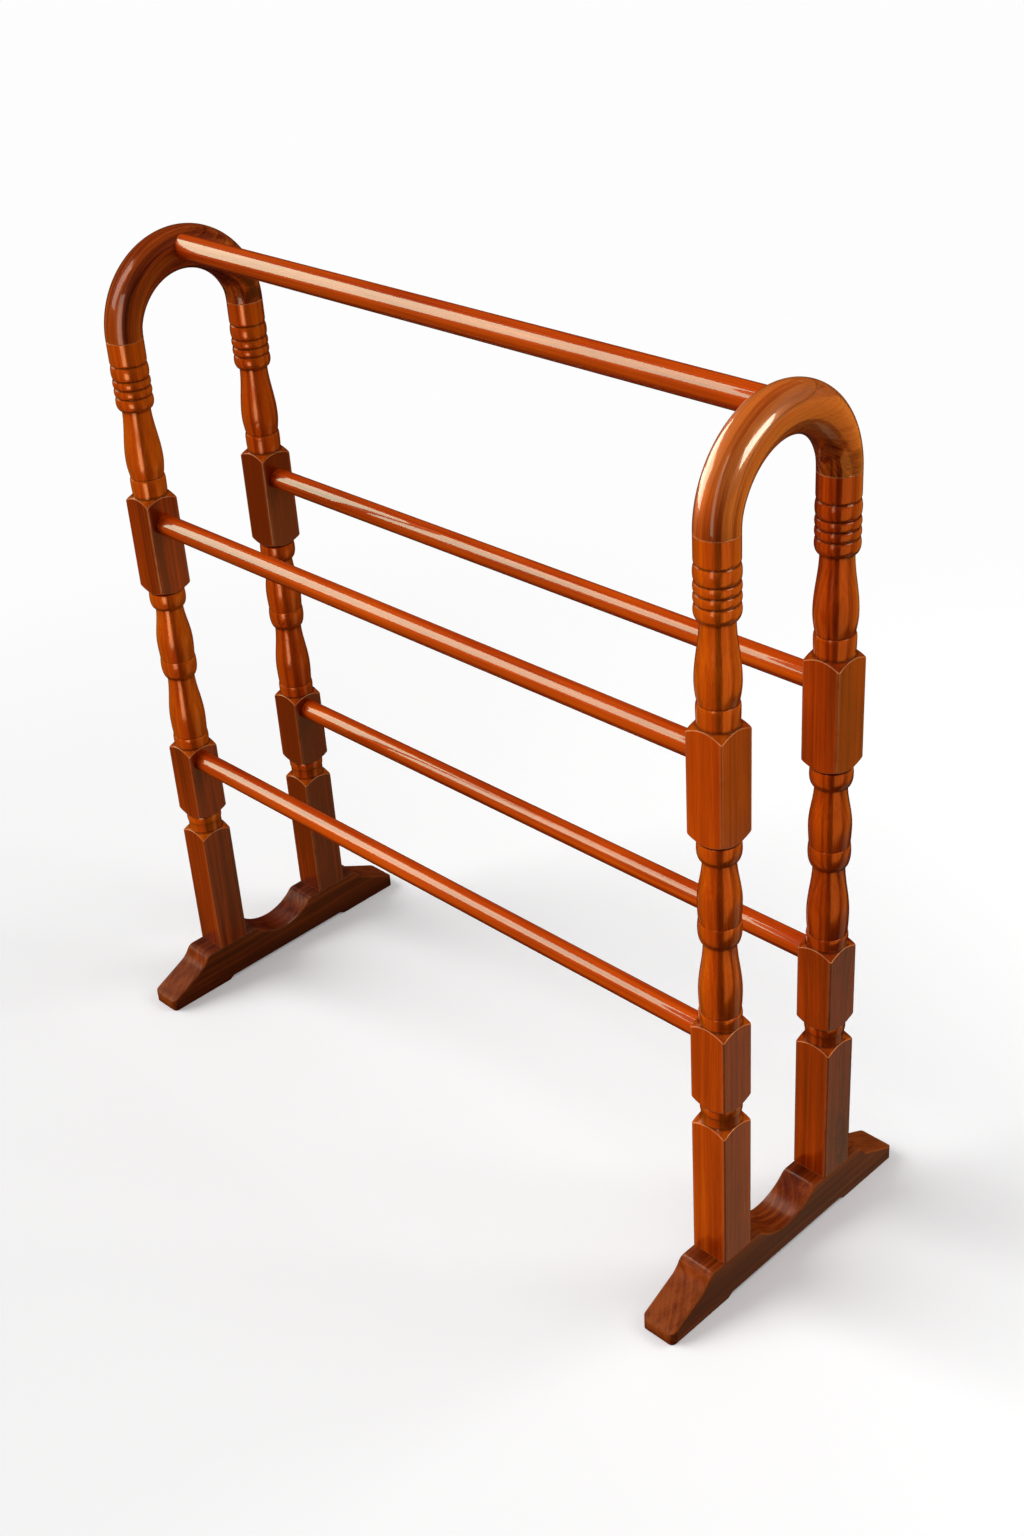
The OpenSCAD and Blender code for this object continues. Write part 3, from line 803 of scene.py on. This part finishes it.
def wood(name, colours, line_colour, worn_colour, ring_mm, warp_mm, lines, streaks,
         roughness, metallic, coat, coat_roughness, specular):
    """Lacquered wood. colours go from dark to light; lines and streaks say how strong the figure
    is, ring_mm how far apart the growth rings are and warp_mm how far they bend."""
    tree = Tree(name)
    grain = tree.add("Attribute", {"attribute_name": "grain"}).outputs["Vector"]
    wear, stain, tone_and_shading = (tree.add("Attribute", {"attribute_name": attribute}).outputs["Fac"]
                             for attribute in ("wear", "stain", "tone"))
    # Growth rings about the pith, bent by slow noise
    bend = tree.noise(tree.scale(grain, (16, 16, 3.2)), 2.0)
    pith = tree.add("VectorMath", {"operation": "LENGTH"}, i0=tree.scale(grain, (1, 1, 0)))
    depth = tree.times_plus(bend, 2 * warp_mm * MM, pith.outputs["Value"])
    rings = tree.math("MULTIPLY", depth, 1 / (ring_mm * MM))
    ring_tone = tree.add("TexNoise", {"noise_dimensions": "1D"}, W=rings, Scale=0.9, Detail=3.0,
                         Roughness=0.65).outputs[0]
    late_wood = tree.math("POWER", tree.math("FRACT", rings), 5.0)
    # Fibres, broad streaks, blotches and pores, all drawn out along the grain
    fibre = tree.noise(tree.scale(grain, (900, 900, 14)), 3.0, 0.6)
    streak = tree.noise(tree.scale(grain, (110, 110, 2.0)), 3.0, 0.62, 0.3)
    blotch = tree.noise(tree.scale(grain, (22, 22, 7)), 2.0)
    pore = tree.spread(tree.noise(tree.scale(grain, (1700, 1700, 46)), 1.0), 0.63, 0.74)
    tone = tree.weigh(ring_tone, lines)
    for figure, strength in ((streak, streaks), (fibre, 0.45), (blotch, 0.55)):
        tone = tree.math("ADD", tone, tree.weigh(figure, strength))
    tone = tree.math("ADD", tree.math("ADD", tone, tone_and_shading), 0.5, clamp=True)
    darkest, span = 0.12, 0.76 / (len(colours) - 1)
    colour = tree.ramp(tone, [(darkest + span * i, c) for i, c in enumerate(colours)])
    # Late wood and pores are dark, and grooves are darkened by stain and painted shade
    dark = tree.math("MULTIPLY", late_wood, tree.spread(ring_tone, 0.42, 0.62))
    colour = tree.mix(tree.math("MULTIPLY", dark, min(1.0, 0.55 * lines)), colour, line_colour)
    colour = tree.mix(tree.math("MULTIPLY", pore, 0.3), colour, line_colour)
    colour = tree.mix(tree.math("MULTIPLY", stain, 0.62), colour, [0.45 * c for c in line_colour])
    # Edges are rubbed pale, a little more in some places than in others
    rub = tree.spread(tree.noise(tree.scale(grain, (60, 60, 60)), 2.0), 0.25, 0.55)
    rub = tree.math("MULTIPLY", wear, tree.times_plus(rub, 0.45, 0.5))
    colour = tree.mix(rub, colour, worn_colour)
    rough = tree.times_plus(fibre, 0.16, roughness - 0.08)
    # The wood is finely uneven, and the lacquer over it nearly smooth
    height = tree.math("SUBTRACT", tree.math("MULTIPLY", fibre, 0.5), pore)
    wave = tree.noise(tree.scale(grain, (120, 120, 40)), 2.0)
    coat_height = tree.math("ADD", tree.math("MULTIPLY", height, 0.35),
                            tree.math("MULTIPLY", wave, 0.3))
    bump = tree.add("Bump", Strength=0.35, Distance=0.00012, Height=height).outputs[0]
    coat_bump = tree.add("Bump", Strength=0.02, Distance=0.00015, Height=coat_height).outputs[0]
    shader = tree.add("BsdfPrincipled", Base_Color=colour, Roughness=rough, Normal=bump,
                      Coat_Normal=coat_bump)
    for key, value in (("Metallic", metallic), ("Specular IOR Level", specular),
                       ("Coat Weight", coat), ("Coat Roughness", coat_roughness),
                       ("Coat IOR", 1.55)):
        shader.inputs[key].default_value = value
    tree.links.new(shader.outputs[0], tree.add("OutputMaterial").inputs[0])
    return tree.material


WOODS = {
    "post_wood": wood(
        "post_wood",
        colours=[(0.16, 0.012, 0.0002), (0.35, 0.033, 0.0003), (0.54, 0.074, 0.0006),
                 (0.72, 0.140, 0.0018)],
        line_colour=(0.085, 0.008, 0.0003), worn_colour=(0.92, 0.44, 0.17),
        ring_mm=3.3, warp_mm=6, lines=0.40, streaks=0.85,
        roughness=0.24, metallic=0.22, coat=0.6, coat_roughness=0.13, specular=0.2),
    "rail_wood": wood(
        "rail_wood",
        colours=[(0.30, 0.019, 0.0001), (0.50, 0.044, 0.0002), (0.68, 0.076, 0.0003),
                 (0.84, 0.125, 0.0008)],
        line_colour=(0.15, 0.010, 0.0001), worn_colour=(0.9, 0.42, 0.16),
        ring_mm=3.0, warp_mm=4, lines=0.4, streaks=0.9,
        roughness=0.30, metallic=0.03, coat=1.0, coat_roughness=0.02, specular=0.08),
    "hoop_wood": wood(
        "hoop_wood",
        colours=[(0.095, 0.009, 0.0004), (0.28, 0.033, 0.0012), (0.51, 0.080, 0.0050),
                 (0.74, 0.165, 0.0200)],
        line_colour=(0.045, 0.006, 0.0004), worn_colour=(0.92, 0.46, 0.16),
        ring_mm=3.2, warp_mm=6, lines=1.1, streaks=1.2,
        roughness=0.28, metallic=0.10, coat=0.8, coat_roughness=0.05, specular=0.2),
    "foot_wood": wood(
        "foot_wood",
        colours=[(0.036, 0.0028, 0.0002), (0.085, 0.0085, 0.0005), (0.17, 0.022, 0.0012),
                 (0.30, 0.056, 0.0060)],
        line_colour=(0.018, 0.002, 0.0002), worn_colour=(0.30, 0.085, 0.02),
        ring_mm=3.6, warp_mm=6, lines=0.7, streaks=0.9,
        roughness=0.34, metallic=0.10, coat=0.35, coat_roughness=0.22, specular=0.08),
}


def dowel_material():
    """Raw beech with short flecks."""
    tree = Tree("dowel_beech")
    place_in = tree.add("TexCoord").outputs["Object"]
    flecks = tree.spread(tree.noise(tree.scale(place_in, (1600, 1600, 260)), 1.0), 0.60, 0.68)
    streak = tree.noise(tree.scale(place_in, (700, 700, 25)), 3.0)
    colour = tree.ramp(streak, [(0.3, (0.44, 0.27, 0.13)), (0.7, (0.66, 0.46, 0.26))])
    colour = tree.mix(tree.math("MULTIPLY", flecks, 0.6), colour, (0.26, 0.13, 0.05))
    bump = tree.add("Bump", Strength=0.3, Distance=0.0001, Height=streak).outputs[0]
    shader = tree.add("BsdfPrincipled", Base_Color=colour, Normal=bump,
                      Roughness=tree.times_plus(streak, 0.2, 0.5))
    tree.links.new(shader.outputs[0], tree.add("OutputMaterial").inputs[0])
    return tree.material


def steel_material():
    """Zinc-plated steel with a cloudy, slightly scratched surface."""
    tree = Tree("screw_zinc")
    place_in = tree.add("TexCoord").outputs["Object"]
    cloud = tree.noise(tree.scale(place_in, (500, 500, 500)), 3.0)
    scratch = tree.noise(tree.scale(place_in, (3000, 3000, 300)), 2.0)
    colour = tree.ramp(cloud, [(0.3, (0.46, 0.46, 0.48)), (0.7, (0.66, 0.66, 0.67))])
    bump = tree.add("Bump", Strength=0.2, Distance=0.00005, Height=scratch).outputs[0]
    rough = tree.times_plus(cloud, 0.25, 0.22)
    shader = tree.add("BsdfPrincipled", Base_Color=colour, Normal=bump, Roughness=rough)
    shader.inputs["Metallic"].default_value = 1.0
    tree.links.new(shader.outputs[0], tree.add("OutputMaterial").inputs[0])
    return tree.material


# ------------------------------ pieces
for side_name in SIDES:
    for end_name in ENDS:
        place(*build_post(side_name, end_name), "post_wood")
    place(*build_hoop(side_name), "hoop_wood")
    place(*build_foot(side_name), "foot_wood")

RAILS = [("top_rail", TOP_RAIL_R), ("upper_rail_front", RAIL_R), ("upper_rail_back", RAIL_R),
         ("lower_rail_front", RAIL_R), ("lower_rail_back", RAIL_R)]
for seed, (node, radius) in enumerate(RAILS):
    place(build_rail(node, radius, seed), node, "rail_wood")

# The hidden dowels and screws keep their CAD shapes
HIDDEN = {"hoop_dowel": dowel_material(), "foot_screw": steel_material()}
for node, piece in frame["nodes"].items():
    for start, material in HIDDEN.items():
        if node.startswith(start):
            piece.data.materials.clear()
            piece.data.materials.append(material)


# ------------------------------ light
TARGET = Vector((0, 0, 0.42))
FAR = 3.0


def light_only(body, parts):
    """Lets a light reach only the pieces whose names hold one of the parts."""
    group = bpy.data.collections.new(body.name + "_reaches")
    for piece in list(bpy.data.objects):
        if piece.type == "MESH" and any(part in piece.name for part in parts):
            group.objects.link(piece)
    body.light_linking.receiver_collection = group


def card(name, matrix, width, height, strength, colour, only, fill):
    """Rectangular light; strength is its radiance. A fill lights the wood and does not show in it,
    any other card shows only in reflections, and only in the parts that are named, if any are."""
    lamp = bpy.data.lights.new(name, "AREA")
    lamp.shape = "RECTANGLE"
    lamp.size, lamp.size_y = width, height
    lamp.energy = strength * math.pi * width * height
    lamp.color = colour
    body = bpy.data.objects.new(name, lamp)
    body.matrix_world = matrix
    body.visible_camera = False
    body.visible_glossy = not fill
    body.visible_diffuse = fill
    bpy.context.scene.collection.objects.link(body)
    if only:
        light_only(body, only)


def softbox(name, azimuth, elevation, width, height, strength, colour, only=(), distance=FAR,
            fill=False):
    """Card that faces the middle of the rack from that direction."""
    away = direction(azimuth, elevation)
    matrix = (Matrix.Translation(TARGET + away * distance)
              @ away.to_track_quat("Z", "Y").to_matrix().to_4x4())
    card(name, matrix, width, height, strength, colour, only, fill)


def panel(name, start, end, width, strength, colour, only=()):
    """Card along the line from start to end, facing the rack. A level line gives an upright one."""
    start, end = Vector(start), Vector(end)
    along = (end - start).normalized()
    away = (start + end) / 2 - TARGET
    if start.z == end.z:
        away.z = 0
    away = (away - away.project(along)).normalized()
    matrix = (Matrix.Translation((start + end) / 2)
              @ Matrix((along.cross(away), along, away)).transposed().to_4x4())
    card(name, matrix, width, (end - start).length, strength, colour, only, fill=False)


def sun(name, azimuth, elevation, strength, angle):
    """Broad, even light from one side, kept out of reflections."""
    lamp = bpy.data.lights.new(name, "SUN")
    lamp.energy = strength
    lamp.angle = math.radians(angle)
    body = bpy.data.objects.new(name, lamp)
    body.matrix_world = direction(azimuth, elevation).to_track_quat("Z", "Y").to_matrix().to_4x4()
    body.visible_glossy = False
    bpy.context.scene.collection.objects.link(body)


def far(azimuth, elevation):
    """Point that lies in that direction from the rack."""
    return TARGET + direction(azimuth, elevation) * FAR


WHITE = (1.0, 1.0, 1.0)
AMBER = (1.0, 0.25, 0.012)
ORANGE = (1.0, 0.36, 0.03)
GOLD = (1.0, 0.45, 0.06)
HONEY = (1.0, 0.62, 0.22)
STRAW = (1.0, 0.86, 0.5)
CREAM = (0.95, 0.95, 0.66)
LIME = (0.9, 1.0, 0.6)
MINT = (0.64, 1.0, 0.72)
PALE_MINT = (0.92, 1.0, 0.84)
ICE = (0.70, 1.0, 0.92)
MILK = (1.0, 0.95, 0.78)
LEFT_FRAME = ("post_left", "hoop_left", "foot_left")
RIGHT_FRAME = ("post_right", "hoop_right", "foot_right")
RIGHT_AND_RAILS = ("rail",) + RIGHT_FRAME

sun("key_sun", azimuth=-52, elevation=36, strength=2.3, angle=45)
softbox("right_fill", 137, 38, width=1.2, height=1.2, strength=3.4, colour=WHITE,
        distance=2.2, fill=True)

# Amber walls round the rack, with a dark gap where the camera stands: their corners in plan
LEFT_FAR, LEFT_NEAR, GAP_EDGE = (-3.2, -0.3), (-1.9, -1.6), (0.95, -1.24)
RIGHT_NEAR, RIGHT_FAR, BACK_END = (1.02, -0.45), (1.9, 0.8), (0.2, 3.0)


def upright_wall(name, start, end, z, height, strength, colour, only=()):
    """Upright panel between two corners in plan, with its middle at height z."""
    panel(name, (*start, z), (*end, z), height, strength, colour, only)


upright_wall("left_wall", LEFT_NEAR, GAP_EDGE, -0.3, 3.2, 1.15, AMBER)
upright_wall("far_left_wall", LEFT_FAR, LEFT_NEAR, -0.3, 3.2, 0.45, AMBER)
upright_wall("right_wall", RIGHT_NEAR, RIGHT_FAR, 0.45, 1.3, 0.9, GOLD, RIGHT_AND_RAILS)
upright_wall("right_glow", RIGHT_NEAR, (1.45, 0.25), 0.25, 1.0, 1.0, GOLD, RIGHT_FRAME)
upright_wall("dim_right_wall", RIGHT_NEAR, RIGHT_FAR, 0.3, 1.6, 0.55, AMBER, LEFT_FRAME)
upright_wall("back_wall", RIGHT_FAR, BACK_END, 0.1, 1.6, 1.0, ORANGE, RIGHT_AND_RAILS)
upright_wall("dim_back_wall", RIGHT_FAR, BACK_END, 0.1, 1.6, 0.4, ORANGE, LEFT_FRAME)
upright_wall("low_glow", (0.72, 0.75), (0.98, 0.28), -0.42, 0.85, 0.32, STRAW, RIGHT_FRAME)
upright_wall("left_low_glow", (0.72, 0.95), (0.98, 0.3), -0.45, 0.9, 0.55, HONEY, LEFT_FRAME)

# Pale cards, each for the highlight of some parts
panel("rail_card", far(-42, 17), far(-78, 48), width=1.7, strength=6.0, colour=MINT, only=("rail",))
panel("rail_core", far(-42, 17), far(-78, 48), width=0.9, strength=5.0, colour=MINT, only=("rail",))
softbox("hoop_card", -76, 19, width=3.0, height=2.1, strength=7.5, colour=PALE_MINT,
        only=("hoop_right",))
softbox("leg_card", -26, 44, width=1.3, height=2.4, strength=3.2, colour=MILK, only=("hoop_left",))
softbox("blob_card", 99, 27, width=1.6, height=0.9, strength=15.0, colour=ICE,
        only=("hoop_right",))
softbox("bead_card", -70, 20, width=1.6, height=1.0, strength=2.0, colour=CREAM,
        only=("post", "foot"))
softbox("right_bead_card", 99, 26, width=1.2, height=0.8, strength=4.0, colour=CREAM,
        only=("post_right",))
softbox("foot_card", -107, 55, width=1.3, height=1.1, strength=9.0, colour=MILK, only=("foot",))
panel("near_strip", (0.53, -0.66, 0.56), (0.53, -0.66, 1.6), width=0.14, strength=2.6,
      colour=CREAM, only=("post_right", "hoop_right"))
panel("left_highlight", (0.3, -1.1, -0.15), (0.3, -1.1, 0.55), width=0.5, strength=3.4,
      colour=LIME, only=("post_left",))
panel("left_hoop_highlight", (0.25, -1.1, 0.1), (0.25, -1.1, 1.5), width=0.6, strength=2.6,
      colour=MILK, only=("hoop_left",))


# ------------------------------ floor and background
FLOOR_HALF = 30
FLOOR_GREY = 0.93
FLOOR_GLOW = 0.12
FLOOR_FAR_GLOW = 0.985
# Distances from the middle of the rack over which the floor turns as white as the background
FLOOR_FADE = (0.6, 1.7)


def build_floor():
    """Plain white floor that takes soft shadows and does not light or colour the wood."""
    corners = [(x * FLOOR_HALF, y * FLOOR_HALF, 0) for x, y in ((-1, -1), (1, -1), (1, 1), (-1, 1))]
    mesh = bpy.data.meshes.new("floor")
    mesh.from_pydata(corners, [], [(0, 1, 2, 3)])
    floor = bpy.data.objects.new("floor", mesh)
    bpy.context.scene.collection.objects.link(floor)
    tree = Tree("floor_white")
    shader = tree.add("BsdfPrincipled", Base_Color=(*[FLOOR_GREY] * 3, 1), Roughness=1.0)
    shader.inputs["Specular IOR Level"].default_value = 0
    shader.inputs["Emission Color"].default_value = (*WHITE, 1)
    shader.inputs["Emission Strength"].default_value = FLOOR_GLOW
    place_in = tree.add("TexCoord").outputs["Object"]
    away = tree.add("VectorMath", {"operation": "LENGTH"}, i0=place_in)
    glow = tree.add("Emission", Strength=FLOOR_FAR_GLOW)
    blend = tree.add("MixShader", i0=tree.spread(away.outputs["Value"], *FLOOR_FADE))
    tree.links.new(shader.outputs[0], blend.inputs[1])
    tree.links.new(glow.outputs[0], blend.inputs[2])
    tree.links.new(blend.outputs[0], tree.add("OutputMaterial").inputs[0])
    mesh.materials.append(tree.material)
    floor.visible_glossy = False
    floor.visible_diffuse = False


# Strength of the background: towards the camera, in reflections, and as light on the wood,
# from below the horizon to overhead
BACKDROP = 1.23
REFLECTED = 0.01
AMBIENT_LOW, AMBIENT_HIGH = 0.12, 0.44


def build_world():
    """White for the camera, dim in reflections, and softly lit from above for the wood."""
    world = bpy.data.worlds.new("studio")
    bpy.context.scene.world = world
    world.use_nodes = True
    nodes, links = world.node_tree.nodes, world.node_tree.links
    nodes.clear()
    path = nodes.new("ShaderNodeLightPath")
    position = nodes.new("ShaderNodeTexCoord")
    split = nodes.new("ShaderNodeSeparateXYZ")
    links.new(position.outputs["Generated"], split.inputs[0])
    ambient = nodes.new("ShaderNodeMapRange")
    links.new(split.outputs["Z"], ambient.inputs[0])
    for key, value in ((1, -0.3), (2, 0.5), (3, AMBIENT_LOW), (4, AMBIENT_HIGH)):
        ambient.inputs[key].default_value = value
    strength = ambient.outputs[0]
    for ray, own_strength in (("Is Glossy Ray", REFLECTED), ("Is Camera Ray", BACKDROP)):
        mix = nodes.new("ShaderNodeMix")
        links.new(path.outputs[ray], mix.inputs[0])
        links.new(strength, mix.inputs[2])
        mix.inputs[3].default_value = own_strength
        strength = mix.outputs[0]
    background = nodes.new("ShaderNodeBackground")
    links.new(strength, background.inputs["Strength"])
    out = nodes.new("ShaderNodeOutputWorld")
    links.new(background.outputs[0], out.inputs[0])


build_floor()
build_world()
bpy.context.scene.view_settings.view_transform = "Standard"
bpy.context.scene.view_settings.look = "None"
